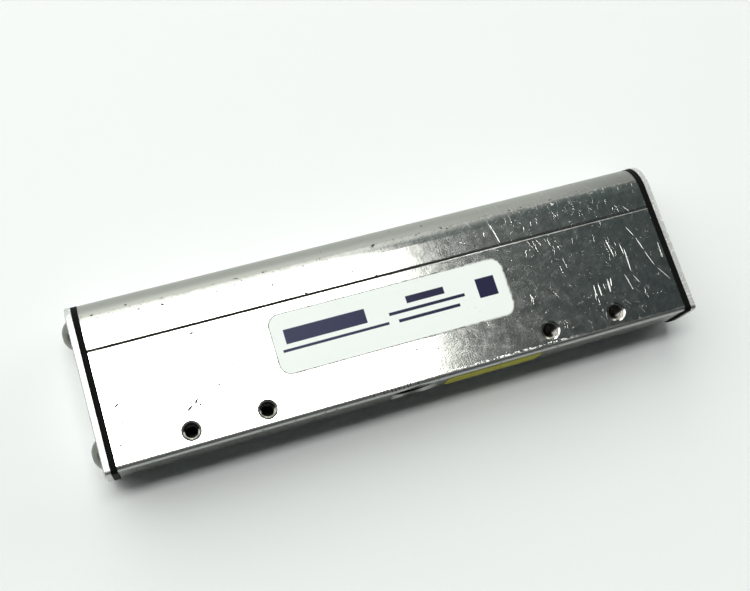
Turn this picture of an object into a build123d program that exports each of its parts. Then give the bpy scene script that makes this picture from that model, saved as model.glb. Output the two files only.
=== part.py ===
"""Compressed air knife, 6 in long: a slotted air bar in brushed aluminium.

The bar lies on its flat underside, +Z up.  X runs along the bar, Y from the near side
(-Y, where the air inlet is) to the far side (+Y, where the sheet of air leaves), and the
origin is at the middle of the underside.  All sizes are in millimetres.
"""
import os

from build123d import *

INCH = 25.4

# ---- driving dimensions ------------------------------------------------------
length = 6 * INCH                 # body and cap, without the ends
width = 1.71875 * INCH            # body, slot and cap together
height = 0.75 * INCH
big_round = 0.3125 * INCH         # far upper corner (the flow surface) and near lower corner
small_round = 1.2                 # the other two corners

body_width = 29.8                 # near side to the seam
slot_gap = 0.1                    # thickness of the shim, which sets the slot
lip_round = 0.5                   # the cap's edge turns into the slot

plenum_floor = 9.3
plenum_top = 15.6
plenum_depth = 15.6               # from the seam into the body
plenum_round = 1.0

mount_inset = 4.56                # tapped mounting holes, from the near side
mount_stations = (0.75 * INCH, 1.5 * INCH)    # from each end of the body
mount_radius = 2.05
mount_mouth_radius = 2.55
mount_depth = 0.375 * INCH

port_drop = 7.3                   # inlet centre, below the top face
port_radius = 5.8
port_mouth_radius = 6.7
port_depth = 15.4

gasket_thickness = INCH / 16
plate_thickness = INCH / 16
gasket_overhang = 0.45              # gasket beyond the near side
gasket_rise = 0.2                 # gasket above the body's top face
plate_overhang_near = 0.45
plate_overhang_far = 0.15
plate_rise = 0.1
end_clearance = 0.1               # gaskets and plates stop this far above the underside
plate_edge = 0.25

thread_radius = 2.06              # No. 8 screws, all six sizes below
tapped_radius = 2.1
clearance_radius = 2.3
end_screw_inset = 0.25 * INCH     # from the near side and from the far side
end_screw_reach = 9.0             # thread inside the body or cap
tapped_spare = 1.2                # tapped holes run on past the screw tips
button_radius = 3.96
button_height = 2.2
button_hex = INCH * 3 / 32
button_hex_depth = 1.3

cap_screw_count = 5
cap_screw_pitch = 1.2 * INCH
cap_screw_height = 5.4
cap_screw_length = 0.75 * INCH
socket_radius = 3.43
socket_height = 4.17
socket_hex = INCH * 9 / 64
socket_hex_depth = 2.1
counterbore_radius = 3.97
counterbore_depth = 4.6
shim_end_tab = 2.5                # the shim closes the slot this far in from each end
shim_edge = 0.25                  # the shim stays this far inside the faces

label_length = 63.7
label_width = 16.0
label_centre = (-0.7, 19.21)     # X, and distance from the near side
label_round = 3.2
sticker_length = 26.3
sticker_height = 8.4
sticker_centre = (22.15, 12.3)    # X, and height above the underside
sticker_round = 0.8
film = 0.1                        # thickness of the label and of the sticker

# ---- places worked out from them ---------------------------------------------
near_y = -width / 2
far_y = width / 2
seam_y = near_y + body_width
cap_y = seam_y + slot_gap
cap_width = far_y - cap_y
end_x = length / 2
gasket_x = end_x + gasket_thickness
plate_x = gasket_x + plate_thickness
mount_y = near_y + mount_inset
mount_x = [side * (end_x - station) for side in (-1, 1) for station in mount_stations]
port_z = height - port_drop
mid_z = height / 2
end_screw_y = {"near": near_y + end_screw_inset, "far": far_y - end_screw_inset}
cap_screw_x = [cap_screw_pitch * (i - (cap_screw_count - 1) / 2) for i in range(cap_screw_count)]
counterbore_y = far_y - counterbore_depth
cap_screw_tip_y = counterbore_y - cap_screw_length

os.makedirs("parts", exist_ok=True)


def save(piece, name):
    """Label a finished piece and write it as parts/NAME.step."""
    piece.part.label = name
    export_step(piece.part, f"parts/{name}.step")


def end_plane(side, x, y=0.0, z=0.0):
    """A plane square to the bar at distance x from its middle, facing outwards."""
    return Plane(origin=(side * x, y, z), x_dir=(0, side, 0), z_dir=(side, 0, 0))


def bar_corner(low_y, high_y):
    """Pick the corners of the sketch that is open: near or far, then lower or upper."""
    column = vertices().group_by(Axis.X)
    side = column[0] if low_y else column[-1]
    return side.sort_by(Axis.Y)[-1 if high_y else 0]


# ---- body: extruded near part with the plenum, inlet and tapped holes ----------
with BuildPart() as body:
    with BuildSketch(Plane.YZ.offset(-end_x)):
        with Locations((near_y, 0)):
            Rectangle(body_width, height, align=(Align.MIN, Align.MIN))
        fillet(bar_corner(True, False), big_round)
        fillet(vertices().sort_by(Axis.X)[:2].sort_by(Axis.Y)[-1], small_round)
        with Locations((seam_y, plenum_floor)):
            Rectangle(2 * plenum_depth, plenum_top - plenum_floor,
                      align=(Align.CENTER, Align.MIN), mode=Mode.SUBTRACT)
        fillet(vertices().filter_by_position(Axis.X, seam_y - plenum_depth - 0.1,
                                             seam_y - plenum_depth + 0.1), plenum_round)
    extrude(amount=length)
    with Locations(*[(x, mount_y, height) for x in mount_x]):
        CounterSinkHole(mount_radius, mount_mouth_radius, mount_depth, 90)
    with Locations(Plane(origin=(0, near_y, port_z), z_dir=(0, -1, 0))):
        CounterSinkHole(port_radius, port_mouth_radius, port_depth, 90)
    for side in (-1, 1):
        with Locations(end_plane(side, end_x, end_screw_y["near"], mid_z)):
            Hole(tapped_radius, end_screw_reach + tapped_spare)
    for x in cap_screw_x:
        with Locations(Plane(origin=(x, seam_y, cap_screw_height), z_dir=(0, 1, 0))):
            Hole(tapped_radius, seam_y - cap_screw_tip_y + tapped_spare)
save(body, "body")

# ---- cap: far part, rounded for the air to follow ------------------------------
with BuildPart() as cap:
    with BuildSketch(Plane.YZ.offset(-end_x)):
        with Locations((cap_y, 0)):
            Rectangle(cap_width, height, align=(Align.MIN, Align.MIN))
        fillet(bar_corner(False, True), big_round)
        fillet(bar_corner(False, False), small_round)
        fillet(bar_corner(True, True), lip_round)
    extrude(amount=length)
    for side in (-1, 1):
        with Locations(end_plane(side, end_x, end_screw_y["far"], mid_z)):
            Hole(tapped_radius, end_screw_reach + tapped_spare)
    for x in cap_screw_x:
        with Locations(Plane(origin=(x, far_y, cap_screw_height), z_dir=(0, 1, 0))):
            CounterBoreHole(clearance_radius, counterbore_radius, counterbore_depth)
save(cap, "cap")

# ---- shim: thin U between body and cap; its open window is the slot --------------
with BuildPart() as shim:
    with BuildSketch(Plane.XZ.offset(-seam_y)):
        with Locations((0, shim_edge)):
            Rectangle(length - 2 * shim_edge, height - 2 * shim_edge,
                      align=(Align.CENTER, Align.MIN))
        with Locations((0, plenum_floor)):
            Rectangle(length - 2 * shim_end_tab, height,
                      align=(Align.CENTER, Align.MIN), mode=Mode.SUBTRACT)
        with Locations(*[(x, cap_screw_height) for x in cap_screw_x]):
            Circle(clearance_radius, mode=Mode.SUBTRACT)
    extrude(amount=-slot_gap)
save(shim, "shim")


# ---- cap screws: socket heads sunk in the far face -------------------------------
def cap_screw(x):
    """One socket head cap screw, its axis along Y at station x."""
    with BuildPart() as screw:
        with BuildSketch(Plane.XY.offset(cap_screw_height)):
            with BuildLine():
                Polyline((x, cap_screw_tip_y), (x + thread_radius - 0.5, cap_screw_tip_y),
                         (x + thread_radius, cap_screw_tip_y + 0.5),
                         (x + thread_radius, counterbore_y), (x + socket_radius, counterbore_y),
                         (x + socket_radius, counterbore_y + socket_height - 0.3),
                         (x + socket_radius - 0.3, counterbore_y + socket_height),
                         (x, counterbore_y + socket_height), close=True)
            make_face()
        revolve(axis=Axis((x, 0, cap_screw_height), (0, 1, 0)))
        head_y = counterbore_y + socket_height
        with BuildSketch(Plane(origin=(x, head_y, cap_screw_height), z_dir=(0, 1, 0))):
            RegularPolygon(socket_hex / 2, 6, major_radius=False)
        extrude(amount=-socket_hex_depth, mode=Mode.SUBTRACT)
    return screw


for number, station in enumerate(cap_screw_x, start=1):
    save(cap_screw(station), f"cap_screw_{number}")


# ---- ends: gasket, plate and two button head screws on each -----------------------
def end_sheet(side, inner_x, thickness, near_edge, far_edge, top, hole_radius):
    """A flat sheet with the bar's outline and two screw holes, lying on the bar's end."""
    with BuildPart() as sheet:
        with BuildSketch(Plane.YZ.offset(side * inner_x)):
            with Locations((near_edge, end_clearance)):
                Rectangle(far_edge - near_edge, top - end_clearance, align=(Align.MIN, Align.MIN))
            fillet(bar_corner(True, False), big_round)
            fillet(bar_corner(False, True), big_round)
            fillet(vertices().group_by(Axis.X)[0].sort_by(Axis.Y)[-1], small_round)
            fillet(vertices().group_by(Axis.X)[-1].sort_by(Axis.Y)[0], small_round)
            with Locations(*[(y, mid_z) for y in end_screw_y.values()]):
                Circle(hole_radius, mode=Mode.SUBTRACT)
        extrude(amount=side * thickness)
    return sheet


def gasket(side):
    """Rubber gasket that seals the plenum's end; it stands proud on top and on the near side."""
    return end_sheet(side, end_x, gasket_thickness, near_y - gasket_overhang,
                     far_y, height + gasket_rise, tapped_radius)


def end_plate(side):
    """Metal plate over the gasket, with its outer edge broken."""
    plate = end_sheet(side, gasket_x, plate_thickness, near_y - plate_overhang_near,
                      far_y + plate_overhang_far, height + plate_rise, clearance_radius)
    with plate:
        rim = faces().sort_by(Axis.X)[-1 if side > 0 else 0].outer_wire().edges()
        chamfer(rim, plate_edge)
    return plate


def end_screw(side, y):
    """One button head screw along X, its domed head on the end plate."""
    tip_x = end_x - end_screw_reach
    dome_radius = (button_radius ** 2 + button_height ** 2) / (2 * button_height)
    mid_rise = (dome_radius ** 2 - (button_radius / 2) ** 2) ** 0.5 - dome_radius + button_height
    with BuildPart() as screw:
        with BuildSketch(Plane.XY.offset(mid_z)):
            with BuildLine():
                Polyline((side * (plate_x + button_height), y), (side * tip_x, y),
                         (side * tip_x, y + thread_radius - 0.5),
                         (side * (tip_x + 0.5), y + thread_radius),
                         (side * plate_x, y + thread_radius), (side * plate_x, y + button_radius))
                ThreePointArc((side * plate_x, y + button_radius),
                              (side * (plate_x + mid_rise), y + button_radius / 2),
                              (side * (plate_x + button_height), y))
            make_face()
        revolve(axis=Axis((0, y, mid_z), (1, 0, 0)))
        with BuildSketch(end_plane(side, plate_x + button_height, y, mid_z)):
            RegularPolygon(button_hex / 2, 6, major_radius=False)
        extrude(amount=-button_hex_depth, mode=Mode.SUBTRACT)
    return screw


for end, side in (("left", -1), ("right", 1)):
    save(gasket(side), f"gasket_{end}")
    save(end_plate(side), f"end_plate_{end}")
    for place, y in end_screw_y.items():
        save(end_screw(side, y), f"end_screw_{end}_{place}")

# ---- films: white label on the top face, yellow sticker beside the inlet ----------
with BuildPart() as label:
    with BuildSketch(Plane.XY.offset(height)):
        with Locations((label_centre[0], near_y + label_centre[1])):
            RectangleRounded(label_length, label_width, label_round)
    extrude(amount=film)
save(label, "label")

with BuildPart() as sticker:
    with BuildSketch(Plane.XZ.offset(-near_y)):
        with Locations(sticker_centre):
            RectangleRounded(sticker_length, sticker_height, sticker_round)
    extrude(amount=film)
save(sticker, "sticker")
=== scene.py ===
import math

import bpy
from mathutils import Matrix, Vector


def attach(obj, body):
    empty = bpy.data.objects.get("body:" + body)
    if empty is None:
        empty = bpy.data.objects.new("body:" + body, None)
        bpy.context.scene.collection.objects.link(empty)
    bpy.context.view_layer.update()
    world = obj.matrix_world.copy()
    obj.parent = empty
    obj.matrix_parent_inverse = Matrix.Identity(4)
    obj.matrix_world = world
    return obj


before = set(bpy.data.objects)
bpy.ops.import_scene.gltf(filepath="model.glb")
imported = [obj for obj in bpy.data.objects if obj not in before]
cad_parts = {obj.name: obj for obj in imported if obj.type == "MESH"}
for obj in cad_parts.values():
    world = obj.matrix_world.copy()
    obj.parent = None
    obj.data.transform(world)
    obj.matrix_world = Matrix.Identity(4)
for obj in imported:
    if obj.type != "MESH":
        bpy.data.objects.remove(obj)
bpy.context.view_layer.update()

MM = 0.001

# The bar, as the CAD source has it, in millimetres from the middle of its underside.
BAR_TOP = 19.05
NEAR_SIDE = -21.83
HOLE_LINE = -17.27
HOLE_STATIONS = (-57.15, -38.1, 38.1, 57.15)
HOLE_RADIUS = 2.05
PORT_HEIGHT = 11.75
PORT_RADIUS = 5.8
PLATE_FACE = 79.36
LABEL_CENTRE = (-0.7, -2.62)
LABEL_HALF = (31.85, 8.0)
LABEL_CORNER = 3.2

# Threads, in millimetres: how far a ridge stands off its bore and is rooted behind it, and
# how far below the top or behind the near side it starts.
MOUNT_PITCH = 0.794
MOUNT_TURNS = 10
MOUNT_RIDGE = 0.42
MOUNT_ROOT = 0.05
MOUNT_START = 0.9
INLET_PITCH = 1.411
INLET_TURNS = 9
INLET_RIDGE = 0.72
INLET_ROOT = 0.85
INLET_START = 1.2
RIDGE_FOOT = 0.9  # width of a ridge at its root, in pitches
RIDGE_CREST = 0.14  # width of its crest, in widths of its root
STEPS_A_TURN = 32
SMOOTH_BELOW = math.radians(35.0)

# Zones of the bar's finish, in millimetres. Each is a soft step from its first value, where
# the zone is not, to its second, where it is.
FAR_CORNER = (16.0, 17.0)
NEAR_CORNER = (-20.5, -21.0)
NEAR_CORNER_UP = (17.0, 17.6)
BELOW_TOP = (18.9, 18.4)
SEAM_UP = (18.0, 18.4)
SCRATCHED_UP = (12.0, 14.0)
TICKED_UP = (15.0, 17.0)
SLATE_END = (10.0, 34.0)
DULLED_END = (6.0, 30.0)
SKIN_SHADED_END = (48.0, 76.0)
INSIDE_PORT = (-5.0, -6.0)
SEAM_SHADE_LINE = 8.10
SEAM_RIM_LINE = 7.70

# A size so large that a pattern doesn't change along its axis.
ENDLESS = 1e6
ALL_DEPTHS = (1, 1, ENDLESS)

# Marks scattered over the bar's top, most of them where it is packed with them.
# Direction in degrees, length, width, room around one, share of worn and of packed cells
# that have one, strength, and shift of the pattern.
STROKES = (
    (8.0, 4.6, 0.08, 4.5, 0.22, 0.36, 0.42, 0.0),
    (-11.0, 3.0, 0.08, 4.5, 0.22, 0.36, 0.42, 17.0),
    (27.0, 3.4, 0.08, 4.5, 0.22, 0.36, 0.42, 34.0),
    (-58.0, 1.8, 0.08, 4.5, 0.22, 0.36, 0.42, 51.0),
    (64.0, 2.2, 0.08, 4.5, 0.22, 0.36, 0.42, 68.0),
    (5.0, 2.2, 0.15, 5.0, 0.01, 0.20, 0.80, 31.0),
    (-9.0, 1.4, 0.14, 5.0, 0.01, 0.18, 0.80, 57.0),
    (15.0, 0.30, 0.20, 5.0, 0.08, 0.12, 0.80, 19.0),
)

# Places packed with marks: middle, and how softly they end.
PACKED_RADIUS = 2.0
PACKED_SPOTS = (
    ((57.6, -9.8), 3.0),
    ((62.0, -1.0), 3.5),
    ((70.0, -9.0), 5.0),
)

# Bright scratches one by one: start, end and width.
SCRATCHES = (
    ((31.6, 14.3), (32.8, 8.6), 0.22),
    ((61.2, 2.9), (62.1, -3.5), 0.30),
    ((65.5, -0.4), (65.1, -8.8), 0.38),
    ((64.7, 0.6), (64.9, -3.2), 0.24),
    ((65.2, -8.8), (66.6, -11.6), 0.20),
    ((57.9, -7.6), (57.5, -12.4), 0.55),
    ((58.9, -7.8), (58.3, -10.6), 0.30),
    ((54.9, -8.3), (54.8, -12.6), 0.30),
    ((68.1, 4.6), (69.7, 1.0), 0.16),
    ((69.7, 1.2), (70.9, -3.4), 0.22),
    ((70.7, -3.0), (72.4, -8.4), 0.18),
    ((72.3, -8.0), (75.6, -13.2), 0.14),
    ((69.2, 10.4), (71.8, 7.2), 0.20),
    ((53.6, -8.4), (53.4, -12.2), 0.26),
    ((63.0, -7.6), (64.0, -13.2), 0.16),
    ((75.4, -1.4), (75.2, -7.0), 0.22),
    ((50.0, 16.1), (50.7, 15.1), 0.55),
    ((49.9, 15.2), (51.1, 15.7), 0.45),
)

# Dark ticks one by one, the last nine on the near edge: start, end and width.
TICKS = (
    ((-57.0, -12.6), (-55.2, -11.2), 0.85),
    ((-54.8, -11.4), (-53.6, -9.9), 0.80),
    ((-53.8, -11.9), (-53.1, -11.5), 0.80),
    ((-73.4, -7.0), (-71.8, -5.9), 0.75),
    ((-72.6, -11.1), (-72.0, -10.9), 0.75),
    ((-1.0, 16.3), (0.5, 17.0), 0.85),
    ((-28.6, 13.1), (-27.9, 12.7), 0.75),
    ((-50.3, 11.4), (-49.6, 11.4), 0.80),
    ((-51.6, 5.9), (-50.4, 6.3), 0.75),
    ((-68.3, 2.3), (-67.8, 2.3), 0.75),
    ((-49.5, -0.9), (-49.0, -0.9), 0.75),
    ((-12.0, -20.6), (-11.6, -21.6), 0.50),
    ((-9.3, -20.7), (-9.0, -21.6), 0.45),
    ((-7.2, -20.5), (-6.8, -21.7), 0.50),
    ((-6.2, -20.8), (-5.9, -21.7), 0.45),
    ((-5.2, -20.4), (-4.9, -21.6), 0.50),
    ((-3.9, -20.8), (-3.7, -21.6), 0.45),
    ((-3.0, -20.3), (-2.6, -21.7), 0.50),
    ((-2.1, -20.4), (-1.9, -21.5), 0.45),
    ((-0.5, -20.7), (0.4, -21.5), 0.50),
)

# Plain printed bars of the label: middle, from the label's own, and half sizes.
INK_EDGE = 0.08
PRINTED_BARS = (
    ((-17.75, 1.65), (10.7, 1.9)),
    ((-15.75, -1.82), (14.0, 0.36)),
    ((9.45, 2.95), (5.2, 0.95)),
    ((9.25, 0.33), (10.4, 0.42)),
    ((9.25, -1.95), (8.4, 0.42)),
    ((26.0, 0.9), (2.6, 2.6)),
)

# Camera and studio, in metres.
CAMERA_PLACE = (-0.06629, -0.05753, 0.28628)
CAMERA_TURN = (15.88, -8.80, -17.38)
CAMERA_LENS = 52.81
CAMERA_SENSOR = 36.0
CAMERA_NEAREST = 0.01
FLOOR_REACH = 8.0
LAMP_HEIGHT = 3.0
LAMP_STAGGER = 0.002
# Each lamp: two corners, brightness, and how wide its right edge fades in millimetres.
LAMPS = {
    "softbox": ((-1.30, 0.364), (0.753, 0.789), 13.0, 60.0),
    "softbox_halo": ((-3.20, 0.288), (0.853, 2.92), 2.03, 100.0),
}

# The room's walls: how bright each is at a direction's height, from level to overhead.
FAR_WALL = (
    (0.00, (0.82, 0.84, 0.83)),
    (0.20, (1.30, 1.32, 1.28)),
    (0.47, (2.65, 2.66, 2.58)),
    (0.68, (1.35, 1.36, 1.32)),
    (0.80, (0.40, 0.42, 0.42)),
    (0.88, (0.070, 0.090, 0.092)),
)
RIGHT_WALL = (
    (0.00, (0.68, 0.70, 0.69)),
    (0.20, (0.66, 0.68, 0.67)),
    (0.47, (0.38, 0.40, 0.39)),
    (0.60, (0.120, 0.138, 0.138)),
    (0.70, (0.080, 0.098, 0.100)),
    (0.85, (0.070, 0.090, 0.092)),
)
WINDOW_WALL = (
    (0.00, (2.20, 2.22, 2.20)),
    (0.50, (2.20, 2.22, 2.20)),
    (0.64, (0.100, 0.120, 0.120)),
)
NEAR_WALL = (
    (0.00, (0.240, 0.245, 0.245)),
    (0.12, (0.220, 0.225, 0.225)),
    (0.19, (0.020, 0.022, 0.023)),
    (0.85, (0.018, 0.022, 0.024)),
)
# Where one wall gives way to the next, as a direction's part along X or Y.
FAR_TO_RIGHT = (0.10, 0.40)
NEAR_TO_FAR = (-0.08, 0.45)
WINDOW_ALONG_X = (0.58, 0.74)
WINDOW_ALONG_Y = (0.02, 0.22)


class Level:
    """A number that varies over a surface. Each sum or product adds its Math node."""

    def __init__(self, nodes, socket):
        self.nodes = nodes
        self.socket = socket

    def maths(self, operation, first, second):
        return self.nodes.node(
            "ShaderNodeMath", {"operation": operation}, {0: first, 1: second}
        )

    def __add__(self, other):
        return self.maths("ADD", self, other)

    __radd__ = __add__

    def __mul__(self, other):
        return self.maths("MULTIPLY", self, other)

    __rmul__ = __mul__

    def __sub__(self, other):
        return self.maths("SUBTRACT", self, other)

    def __rsub__(self, other):
        return self.maths("SUBTRACT", other, self)

    def __or__(self, other):
        return self.maths("MAXIMUM", self, other)

    __ror__ = __or__

    def __and__(self, other):
        return self.maths("MINIMUM", self, other)

    __rand__ = __and__

    def __abs__(self):
        return self.maths("ABSOLUTE", self, 0.0)

    def beside(self, output):
        """Another output of the same node."""
        return Level(self.nodes, self.socket.node.outputs[output])

    def step(self, low, high):
        """0 up to low and 1 from high on, with a soft rise. High may be the smaller."""
        return self.nodes.node(
            "ShaderNodeMapRange",
            {"interpolation_type": "SMOOTHSTEP"},
            {"Value": self, "From Min": low, "From Max": high},
        )


class Nodes:
    """A node tree under construction."""

    def __init__(self, tree):
        self.tree = tree

    def node(self, kind, settings=None, inputs=None, output=0):
        """Any node: its settings first, then the values or links of its sockets."""
        made = self.tree.nodes.new(kind)
        for key, value in (settings or {}).items():
            if key == "stops":
                self.set_stops(made.color_ramp, value)
            else:
                setattr(made, key, value)
        for key, value in (inputs or {}).items():
            self.feed(made.inputs[key], value)
        return Level(self, made.outputs[output])

    def set_stops(self, ramp, stops):
        while len(ramp.elements) < len(stops):
            ramp.elements.new(0.5)
        for element, (position, colour) in zip(ramp.elements, stops):
            element.position = position
            element.color = (*colour, 1.0)

    def feed(self, socket, value):
        """Links a level to a socket, or sets the socket to a plain value."""
        if isinstance(value, Level):
            self.tree.links.new(value.socket, socket)
        elif socket.type == "RGBA" and len(value) == 3:
            socket.default_value = (*value, 1.0)
        else:
            socket.default_value = value

    def part(self, vector, name):
        """One coordinate of a vector, or one channel of a colour."""
        return self.node("ShaderNodeSeparateXYZ", None, {0: vector}, name)

    def length(self, vector):
        return self.node("ShaderNodeVectorMath", {"operation": "LENGTH"}, {0: vector}, "Value")

    def mix(self, share, first, second):
        """A colour between two colours."""
        return self.node(
            "ShaderNodeMix", {"data_type": "RGBA"}, {0: share, 6: first, 7: second}, 2
        )


class Finish(Nodes):
    """One material under construction, measured in millimetres."""

    def __init__(self, name, **constants):
        self.material = bpy.data.materials.new(name)
        self.material.use_nodes = True
        super().__init__(self.material.node_tree)
        self.shader = self.tree.nodes["Principled BSDF"]
        self.dress(**constants)
        metres = self.node("ShaderNodeTexCoord", output="Object")
        self.place = self.node(
            "ShaderNodeVectorMath", {"operation": "SCALE"}, {0: metres, "Scale": 1 / MM}
        )

    def dress(self, **values):
        """Feeds the shader's own sockets: links for what varies, plain values for the rest."""
        for socket, value in values.items():
            self.feed(self.shader.inputs[socket.replace("_", " ")], value)

    def axis(self, name):
        return self.part(self.place, name)

    def local(self, centre=(0, 0, 0), degrees=0.0, size=(1, 1, 1)):
        """Coordinates from centre, turned about Z and counted in units of size."""
        return self.node(
            "ShaderNodeMapping",
            {"vector_type": "TEXTURE"},
            {
                "Vector": self.place,
                "Location": centre,
                "Rotation": (0.0, 0.0, math.radians(degrees)),
                "Scale": size,
            },
        )

    def noise(self, size, detail, place=None, lift=0.0):
        """Noise from 0 to 1, its blobs about size across. Lift gives another pattern."""
        spot = place or self.place
        if lift:
            spot = self.node(
                "ShaderNodeVectorMath", {"operation": "ADD"}, {0: spot, 1: (lift,) * 3}
            )
        return self.node(
            "ShaderNodeTexNoise", None, {"Vector": spot, "Scale": 1 / size, "Detail": detail}
        )

    def streaks(self, detail, degrees, size, centre=(0, 0, 0)):
        """Noise drawn out into streaks: its blobs are about size across on each axis."""
        return self.noise(1.0, detail, self.local(centre, degrees, size))

    def relief(self, height, depth, below=None):
        """A Bump node: height from 0 to 1 stands for depth millimetres."""
        inputs = {"Height": height, "Strength": 1.0, "Distance": depth * MM}
        if below is not None:
            inputs["Normal"] = below
        return self.node("ShaderNodeBump", None, inputs)


def strokes(finish, degrees, length, width, room, share, shift):
    """Thin straight marks, one to a stretched cell at most; share of the cells have one."""
    cell = (width * room, length * room, 1.0)
    run = finish.local((shift, shift * 0.7, 0.0), degrees, cell)
    near = finish.node(
        "ShaderNodeTexVoronoi", {"voronoi_dimensions": "2D"}, {"Vector": run, "Scale": 1.0}
    )
    chance = near.beside("Color")
    drawn = (share - finish.part(chance, "X")).step(0.0, 0.02)
    depth = finish.part(chance, "Y") * 0.7 + 0.3
    return near.step(0.5 / room, 0.2 / room) * drawn * depth


def round_spot(finish, centre, radius, soft):
    """1 inside a round spot of the top face, 0 outside."""
    away = finish.local((*centre, 0), size=ALL_DEPTHS)
    return finish.length(away).step(radius + soft, radius - soft)


def scratch(finish, start, end, width):
    """One straight scratch between two points of the top face."""
    middle = ((start[0] + end[0]) / 2, (start[1] + end[1]) / 2, 0)
    run = Vector((end[0] - start[0], end[1] - start[1]))
    turn = math.degrees(math.atan2(run.y, run.x))
    along = finish.local(middle, turn, (run.length / 2, width / 2, ENDLESS))
    return finish.length(along).step(1.0, 0.5)


def rounded_field(finish, centre, half, corner):
    """Distance in millimetres outside a rounded rectangle, negative inside it."""
    u = abs(finish.axis("X") - centre[0]) - (half[0] - corner)
    v = abs(finish.axis("Y") - centre[1]) - (half[1] - corner)
    both = finish.node("ShaderNodeCombineXYZ", None, {"X": u | 0.0, "Y": v | 0.0})
    return finish.length(both) + ((u | v) & 0.0) - corner


def printed_bar(finish, centre, half):
    """A printed plain bar, upright to the label."""
    u = abs(finish.axis("X") - (LABEL_CENTRE[0] + centre[0])) - half[0]
    v = abs(finish.axis("Y") - (LABEL_CENTRE[1] + centre[1])) - half[1]
    return (u | v).step(INK_EDGE, -INK_EDGE)


# ---- finish of the bar -------------------------------------------------------------


def worn_metal(finish):
    """Two masks of the top: worn towards the right end, and packed with marks."""
    x = finish.axis("X")
    y = finish.axis("Y")
    patchy = finish.noise(5.0, 2.0, lift=60.0).step(0.36, 0.64)
    worn = (patchy * 0.7 + 0.3) * x.step(12.0, 60.0)
    behind_seam = y.step(8.0, 12.0) * x.step(16.0, 40.0)
    packed = behind_seam * 0.5
    for centre, soft in PACKED_SPOTS:
        packed = packed | round_spot(finish, centre, PACKED_RADIUS, soft)
    return worn, packed


def near_burr(finish):
    """A broken bright line just inside the near edge, right of the inlet."""
    x = finish.axis("X")
    y = finish.axis("Y")
    line = y.step(-20.1, -20.3) * y.step(-20.9, -20.7)
    stretch = x.step(5.0, 12.0) * x.step(48.0, 40.0)
    return finish.noise(0.8, 2.0, lift=90.0).step(0.48, 0.58) * line * stretch


def bar_marks(finish):
    """Scratches and nicks of the machined top, most of them towards the right end."""
    worn, packed = worn_metal(finish)
    drawn = near_burr(finish) * 0.7
    for degrees, length, width, room, on_worn, on_packed, strength, shift in STROKES:
        share = worn * on_worn | packed * on_packed
        drawn = drawn | strokes(finish, degrees, length, width, room, share, shift) * strength
    for start, end, width in SCRATCHES:
        drawn = drawn | scratch(finish, start, end, width)
    return drawn * finish.axis("Z").step(*SCRATCHED_UP)


def bar_soil(finish):
    """Dark specks and ticks: along the far corner, the near edge and beside the holes."""
    y = finish.axis("Y")
    crumbs = finish.noise(0.9, 4.0, lift=33.0).step(0.58, 0.66)
    patchy = finish.noise(5.0, 1.0, lift=12.0).step(0.42, 0.6)
    far_band = y.step(14.8, 15.8) * y.step(17.6, 16.8)
    loose = finish.noise(0.8, 0.0, lift=51.0).step(0.80, 0.84)
    ticks = 0.0
    for start, end, width in TICKS:
        ticks = ticks | scratch(finish, start, end, width)
    return crumbs * far_band * patchy | loose | ticks * finish.axis("Z").step(*TICKED_UP)


def bar_bores(finish):
    """The walls of the mounting holes and of the inlet, painted near-black: cutting dirt and
    painted shade in the bores.
    """
    bores = 0.0
    for station in HOLE_STATIONS:
        away = finish.local((station, HOLE_LINE, 0), size=ALL_DEPTHS)
        bores = bores | finish.length(away).step(HOLE_RADIUS + 0.12, HOLE_RADIUS + 0.02)
    away = finish.local((0, 0, PORT_HEIGHT), size=(1, ENDLESS, 1))
    port = finish.length(away).step(PORT_RADIUS + 0.1, PORT_RADIUS)
    return bores | port * finish.axis("Y").step(*INSIDE_PORT)


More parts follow.
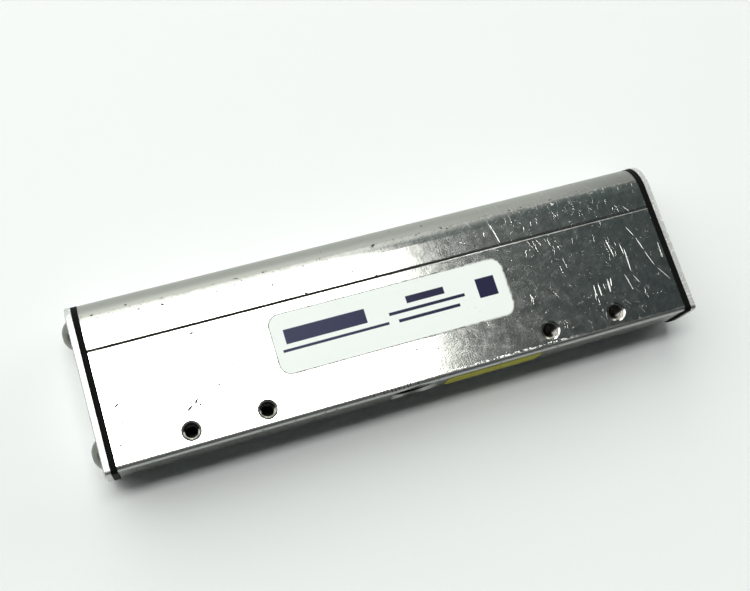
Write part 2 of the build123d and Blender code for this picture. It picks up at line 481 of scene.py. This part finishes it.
def bar_aluminium():
    """Bar stock: a machined bright top between matt drawn corners, scratched and nicked."""
    finish = Finish("bar_aluminium")
    x, y, z = (finish.axis(name) for name in "XYZ")
    clouds = finish.noise(9.0, 2.0)
    haze = finish.noise(2.6, 4.0, lift=25.0)
    fine = finish.noise(0.45, 3.0, lift=40.0)
    ragged = finish.noise(1.3, 5.0, lift=70.0)
    milled = finish.streaks(3.0, 3.0, (0.28, 5.5, 1.0))
    wiped = finish.streaks(3.0, -56.0, (0.35, 2.6, 1.0), (9, 0, 0))
    dulled = finish.noise(1.6, 4.0, lift=110.0).step(0.40, 0.75) * x.step(*DULLED_END)

    ragged_y = y + (ragged - 0.5) * 1.8
    far_corner = ragged_y.step(*FAR_CORNER)
    near_corner = (ragged_y * 0.2 + y * 0.8).step(*NEAR_CORNER) * z.step(*NEAR_CORNER_UP)
    below_top = z.step(*BELOW_TOP)
    skin = far_corner | below_top
    slate_end = x.step(*SLATE_END)
    # Painted shade: a near-black band along the seam between body and cap, narrower towards
    # the dark-reflecting right end.
    seam_shade = (abs(y - SEAM_SHADE_LINE) + slate_end * 0.13).step(0.40, 0.28)
    seam_rim = abs(y - SEAM_RIM_LINE).step(0.12, 0.04) * slate_end * 0.55
    seam_up = z.step(*SEAM_UP)
    marks = bar_marks(finish)
    bright = marks | seam_rim * seam_up
    # Besides real specks and ticks, this soil mask carries painted shade: the seam band and
    # the near-black bore walls.
    soil = bar_soil(finish) | seam_shade * seam_up | bar_bores(finish) * below_top * 0.9

    tone = (haze * 0.3 + milled * 0.3 + wiped * 0.4).step(0.36, 0.64)
    colour = finish.mix(tone, (0.70, 0.71, 0.66), (0.92, 0.93, 0.88))
    # Painted shade: the drawn skin is darker towards the right end.
    drawn_skin = finish.mix(x.step(*SKIN_SHADED_END), (0.350, 0.360, 0.334), (0.275, 0.284, 0.268))
    colour = finish.mix(skin, colour, drawn_skin)
    colour = finish.mix(near_corner, colour, (0.54, 0.55, 0.54))
    colour = finish.mix(bright, colour, (0.90, 0.91, 0.90))
    colour = finish.mix(soil, colour, (0.035, 0.036, 0.030))
    machined = 0.08 + haze * 0.04 + milled * 0.03 + dulled * 0.035
    matt = skin * 0.12 + far_corner * 0.12 + near_corner * 0.30
    rolled = finish.relief(clouds * 0.10 + fine * 0.06 + milled * 0.14 + wiped * 0.12, 0.02)
    finish.dress(
        Base_Color=colour,
        Metallic=1.0 - soil,
        Roughness=machined + matt + bright * 0.3 + soil * 0.4,
        Normal=finish.relief(marks, -0.01, rolled),
    )
    return finish.material


# ---- other finishes ----------------------------------------------------------------


def cut_thread():
    """Tapped aluminium, dull with cutting dirt in its roots."""
    finish = Finish("cut_thread", Metallic=1.0)
    grain = finish.noise(0.3, 3.0)
    soil = finish.noise(0.9, 3.0, lift=30.0).step(0.42, 0.70)
    finish.dress(
        Base_Color=finish.mix(soil, (0.30, 0.29, 0.265), (0.08, 0.077, 0.068)),
        Roughness=0.14 + grain * 0.12,
        Normal=finish.relief(grain, 0.006),
    )
    return finish.material


def plate_aluminium():
    """Sheet aluminium: a brushed face, and a sheared edge with pits and bright spots."""
    finish = Finish("plate_aluminium", Metallic=1.0)
    edge = abs(finish.axis("X")).step(PLATE_FACE, PLATE_FACE - 0.08)
    grain = finish.noise(0.7, 4.0)
    sheared = finish.streaks(3.0, 0.0, (0.3, 2.6, 0.8))
    brushed = finish.streaks(4.0, 0.0, (1.0, 9.0, 0.22))
    handled = finish.noise(7.0, 3.0, lift=70.0).step(0.35, 0.70)
    pits = finish.noise(0.9, 2.0, lift=30.0).step(0.68, 0.76) * edge
    bright = finish.noise(0.55, 2.0, lift=50.0).step(0.58, 0.66) * edge
    tone = (grain + sheared) * 0.5 * edge + (brushed * 0.6 + handled * 0.4) * (1.0 - edge)
    colour = finish.mix(tone, (0.44, 0.45, 0.44), (0.78, 0.79, 0.77))
    colour = finish.mix(bright, colour, (0.94, 0.95, 0.93))
    finish.dress(
        Base_Color=finish.mix(pits * 0.6, colour, (0.20, 0.20, 0.19)),
        Roughness=0.34 + grain * 0.14 + handled * 0.08,
        Normal=finish.relief((sheared + grain * 0.5) * edge + brushed * 0.25, 0.05),
    )
    return finish.material


def stainless_steel():
    """Screw heads: fine grain, slightly olive."""
    finish = Finish("stainless_steel", Metallic=1.0)
    grain = finish.noise(0.3, 3.0)
    cloud = finish.noise(1.6, 2.0, lift=30.0)
    finish.dress(
        Base_Color=finish.mix(cloud, (0.15, 0.155, 0.135), (0.24, 0.245, 0.22)),
        Roughness=0.24 + grain * 0.12,
        Normal=finish.relief(grain, 0.006),
    )
    return finish.material


def gasket_rubber():
    """Matt black rubber sheet, cut edge."""
    finish = Finish("gasket_rubber", Specular_IOR_Level=0.1)
    grain = finish.noise(0.25, 3.0)
    dust = finish.noise(1.2, 3.0, lift=30.0).step(0.62, 0.8)
    finish.dress(
        Base_Color=finish.mix(dust, (0.002, 0.0025, 0.002), (0.014, 0.015, 0.013)),
        Roughness=0.6 + grain * 0.25,
        Normal=finish.relief(grain, 0.02),
    )
    return finish.material


def label_white():
    """Satin label with plain printed bars and a grimy cut edge."""
    finish = Finish("label_white", Specular_IOR_Level=0.25)
    paper = finish.noise(6.0, 2.0)
    soil = finish.noise(0.9, 3.0, lift=20.0)
    edge = rounded_field(finish, LABEL_CENTRE, LABEL_HALF, LABEL_CORNER)
    ink = 0.0
    for centre, half in PRINTED_BARS:
        ink = ink | printed_bar(finish, centre, half)
    deeper = finish.axis("X").step(-20.0, 10.0)
    ink_colour = finish.mix(deeper, (0.010, 0.014, 0.066), (0.001, 0.001, 0.040))
    colour = finish.mix(paper, (0.885, 0.945, 0.90), (0.92, 0.975, 0.935))
    colour = finish.mix(ink, colour, ink_colour)
    specks = soil.step(0.66, 0.70) * round_spot(finish, (20.0, -8.2), 0.5, 3.5)
    grime = edge.step(-0.42, -0.22) * (0.45 + soil.step(0.45, 0.6) * 0.5) | specks
    finish.dress(
        Base_Color=finish.mix(grime, colour, (0.10, 0.095, 0.07)),
        Roughness=0.44 - ink * 0.06,
        Normal=finish.relief(paper + ink * 0.1, 0.02),
    )
    return finish.material


def sticker_yellow():
    """Plain yellow strip, a little faded in patches; its yellow is painted dark olive as
    painted shade of the near side.
    """
    finish = Finish("sticker_yellow", Specular_IOR_Level=0.15)
    fade = finish.noise(5.0, 3.0)
    soil = finish.noise(0.7, 3.0, lift=20.0).step(0.55, 0.75)
    # Painted shade: the yellow is darkened to olive for the shade on the near side.
    colour = finish.mix(fade, (0.40, 0.39, 0.018), (0.56, 0.54, 0.035))
    finish.dress(
        Base_Color=finish.mix(soil * 0.4, colour, (0.16, 0.15, 0.02)),
        Roughness=0.45 + fade * 0.1,
        Normal=finish.relief(fade, 0.03),
    )
    return finish.material


def paper_floor():
    """The plain pale table top."""
    finish = Finish("paper_floor", Roughness=0.8)
    tone = finish.noise(300.0, 2.0)
    finish.dress(Base_Color=finish.mix(tone, (0.92, 0.955, 0.945), (0.94, 0.975, 0.965)))
    return finish.material


def lamp_cloth(name, brightness, edge, fade):
    """The white face of one lamp, fading out towards its right edge."""
    finish = Finish(name, Base_Color=(0.0, 0.0, 0.0), Emission_Strength=brightness)
    lit = finish.axis("X").step(edge, edge - fade)
    finish.dress(Emission_Color=finish.mix(lit, (0.0, 0.0, 0.0), (1.0, 1.0, 0.98)))
    return finish.material


# ---- building helpers --------------------------------------------------------------


def clear_selection():
    """Leaves edit mode and deselects every object."""
    if bpy.context.object and bpy.context.object.mode != "OBJECT":
        bpy.ops.object.mode_set(mode="OBJECT")
    bpy.ops.object.select_all(action="DESELECT")


def paint(piece, material):
    piece.data.materials.clear()
    piece.data.materials.append(material)


def ridge_profile(radius, ridge, root, pitch):
    """The outline of a ridge in the XZ plane: a strip, narrowed at its inner side."""
    middle = (radius + (root - ridge) / 2) * MM
    clear_selection()
    bpy.ops.mesh.primitive_plane_add(size=1.0, rotation=(math.pi / 2, 0.0, 0.0))
    bpy.ops.object.transform_apply(location=False, rotation=True, scale=False)
    piece = bpy.context.object
    bpy.ops.object.mode_set(mode="EDIT")
    bpy.ops.mesh.select_all(action="SELECT")
    bpy.ops.transform.resize(value=((ridge + root) * MM, 1.0, pitch * RIDGE_FOOT * MM))
    bpy.ops.transform.translate(value=(middle, 0.0, 0.0))
    bpy.ops.mesh.select_all(action="DESELECT")
    bpy.ops.object.mode_set(mode="OBJECT")
    for vertex in piece.data.vertices:
        vertex.select = vertex.co.x < middle
    bpy.ops.object.mode_set(mode="EDIT")
    bpy.ops.transform.resize(value=(1.0, 1.0, RIDGE_CREST))
    bpy.ops.mesh.select_all(action="SELECT")
    bpy.ops.mesh.delete(type="ONLY_FACE")
    bpy.ops.object.mode_set(mode="OBJECT")
    return piece


def thread_ridge(name, radius, ridge, root, pitch, turns):
    """One right-hand ridge inward from a bore along Z, rooted in the metal behind it."""
    piece = ridge_profile(radius, ridge, root, pitch)
    piece.name = name
    coil = piece.modifiers.new("coil", "SCREW")
    coil.axis = "Z"
    coil.angle = -2 * math.pi
    coil.screw_offset = -pitch * MM
    coil.iterations = turns
    coil.steps = coil.render_steps = STEPS_A_TURN
    bpy.ops.object.modifier_apply(modifier=coil.name)
    bpy.ops.object.mode_set(mode="EDIT")
    bpy.ops.mesh.select_all(action="SELECT")
    bpy.ops.mesh.remove_doubles(threshold=1e-6)
    bpy.ops.mesh.fill_holes(sides=4)
    bpy.ops.mesh.select_all(action="SELECT")
    bpy.ops.mesh.normals_make_consistent(inside=False)
    bpy.ops.object.mode_set(mode="OBJECT")
    bpy.ops.object.shade_smooth_by_angle(angle=SMOOTH_BELOW)
    return piece


def place_piece(piece, spot, turn=(0.0, 0.0, 0.0)):
    """Moves a piece to its place and puts that place into its mesh."""
    clear_selection()
    bpy.context.view_layer.objects.active = piece
    piece.select_set(True)
    piece.location = [length * MM for length in spot]
    piece.rotation_euler = turn
    bpy.ops.object.transform_apply(location=True, rotation=True, scale=True)


def join_to_bar(piece, material):
    """Paints a thread and lets it go with the bar."""
    paint(piece, material)
    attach(piece, "root")


def make_threads():
    """Cut threads in the four mounting holes and in the inlet."""
    material = cut_thread()
    first = thread_ridge(
        "mount_thread_1", HOLE_RADIUS, MOUNT_RIDGE, MOUNT_ROOT, MOUNT_PITCH, MOUNT_TURNS
    )
    pieces = [first]
    for number in range(2, len(HOLE_STATIONS) + 1):
        copy = bpy.data.objects.new("mount_thread_%d" % number, first.data.copy())
        bpy.context.scene.collection.objects.link(copy)
        pieces.append(copy)
    for piece, station in zip(pieces, HOLE_STATIONS):
        place_piece(piece, (station, HOLE_LINE, BAR_TOP - MOUNT_START))
        join_to_bar(piece, material)
    inlet = thread_ridge(
        "inlet_thread", PORT_RADIUS, INLET_RIDGE, INLET_ROOT, INLET_PITCH, INLET_TURNS
    )
    place_piece(inlet, (0.0, NEAR_SIDE + INLET_START, PORT_HEIGHT), (math.pi / 2, 0.0, 0.0))
    join_to_bar(inlet, material)


# ---- the scene ---------------------------------------------------------------------


def dress_cad():
    """Gives every CAD node its finish."""
    bar = bar_aluminium()
    steel = stainless_steel()
    finishes = {
        "body": bar,
        "cap": bar,
        "shim": steel,
        "label": label_white(),
        "sticker": sticker_yellow(),
        "gasket": gasket_rubber(),
        "end_plate": plate_aluminium(),
        "end_screw": steel,
        "cap_screw": steel,
    }
    for name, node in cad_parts.items():
        kind = next(k for k in finishes if name == k or name.startswith(k + "_"))
        paint(node, finishes[kind])


def make_floor():
    """A plain floor under the object."""
    clear_selection()
    bpy.ops.mesh.primitive_plane_add(size=FLOOR_REACH)
    floor = bpy.context.object
    floor.name = "floor"
    paint(floor, paper_floor())


def make_lamps():
    """A strong softbox over the far side, in a wider and weaker glow."""
    for rank, (name, (low, high, brightness, fade)) in enumerate(LAMPS.items()):
        clear_selection()
        bpy.ops.mesh.primitive_plane_add(size=1.0)
        lamp = bpy.context.object
        lamp.name = name
        lamp.scale = (high[0] - low[0], high[1] - low[1], 1.0)
        middle = ((low[0] + high[0]) / 2, (low[1] + high[1]) / 2)
        lamp.location = (*middle, LAMP_HEIGHT + LAMP_STAGGER * rank)
        bpy.ops.object.transform_apply(location=True, rotation=True, scale=True)
        paint(lamp, lamp_cloth(name + "_cloth", brightness, high[0] / MM, fade))
        lamp.visible_camera = False


def make_world():
    """A plain room: bright low down on the far side, dim overhead and on the near side."""
    world = bpy.data.worlds.new("room")
    bpy.context.scene.world = world
    world.use_nodes = True
    room = Nodes(world.node_tree)
    towards = room.node("ShaderNodeTexCoord", output="Generated")
    across = room.part(towards, "X")
    away = room.part(towards, "Y")
    up = room.part(towards, "Z")
    walls = []
    for stops in (FAR_WALL, RIGHT_WALL, NEAR_WALL, WINDOW_WALL):
        walls.append(room.node("ShaderNodeValToRGB", {"stops": stops}, {"Fac": up}))
    far, right, near, window = walls
    around = room.mix(across.step(*FAR_TO_RIGHT), far, right)
    around = room.mix(away.step(*NEAR_TO_FAR), near, around)
    in_window = across.step(*WINDOW_ALONG_X) * away.step(*WINDOW_ALONG_Y)
    around = room.mix(in_window, around, window)
    background = room.tree.nodes["Background"]
    room.feed(background.inputs["Color"], around)
    background.inputs["Strength"].default_value = 1.0


def make_camera():
    data = bpy.data.cameras.new("camera")
    data.lens = CAMERA_LENS
    data.sensor_width = CAMERA_SENSOR
    data.clip_start = CAMERA_NEAREST
    camera = bpy.data.objects.new("camera", data)
    camera.location = CAMERA_PLACE
    camera.rotation_euler = [math.radians(degrees) for degrees in CAMERA_TURN]
    bpy.context.scene.collection.objects.link(camera)
    bpy.context.scene.camera = camera


make_camera()
make_world()
make_floor()
make_lamps()
dress_cad()
make_threads()
bpy.context.scene.view_settings.view_transform = "Standard"
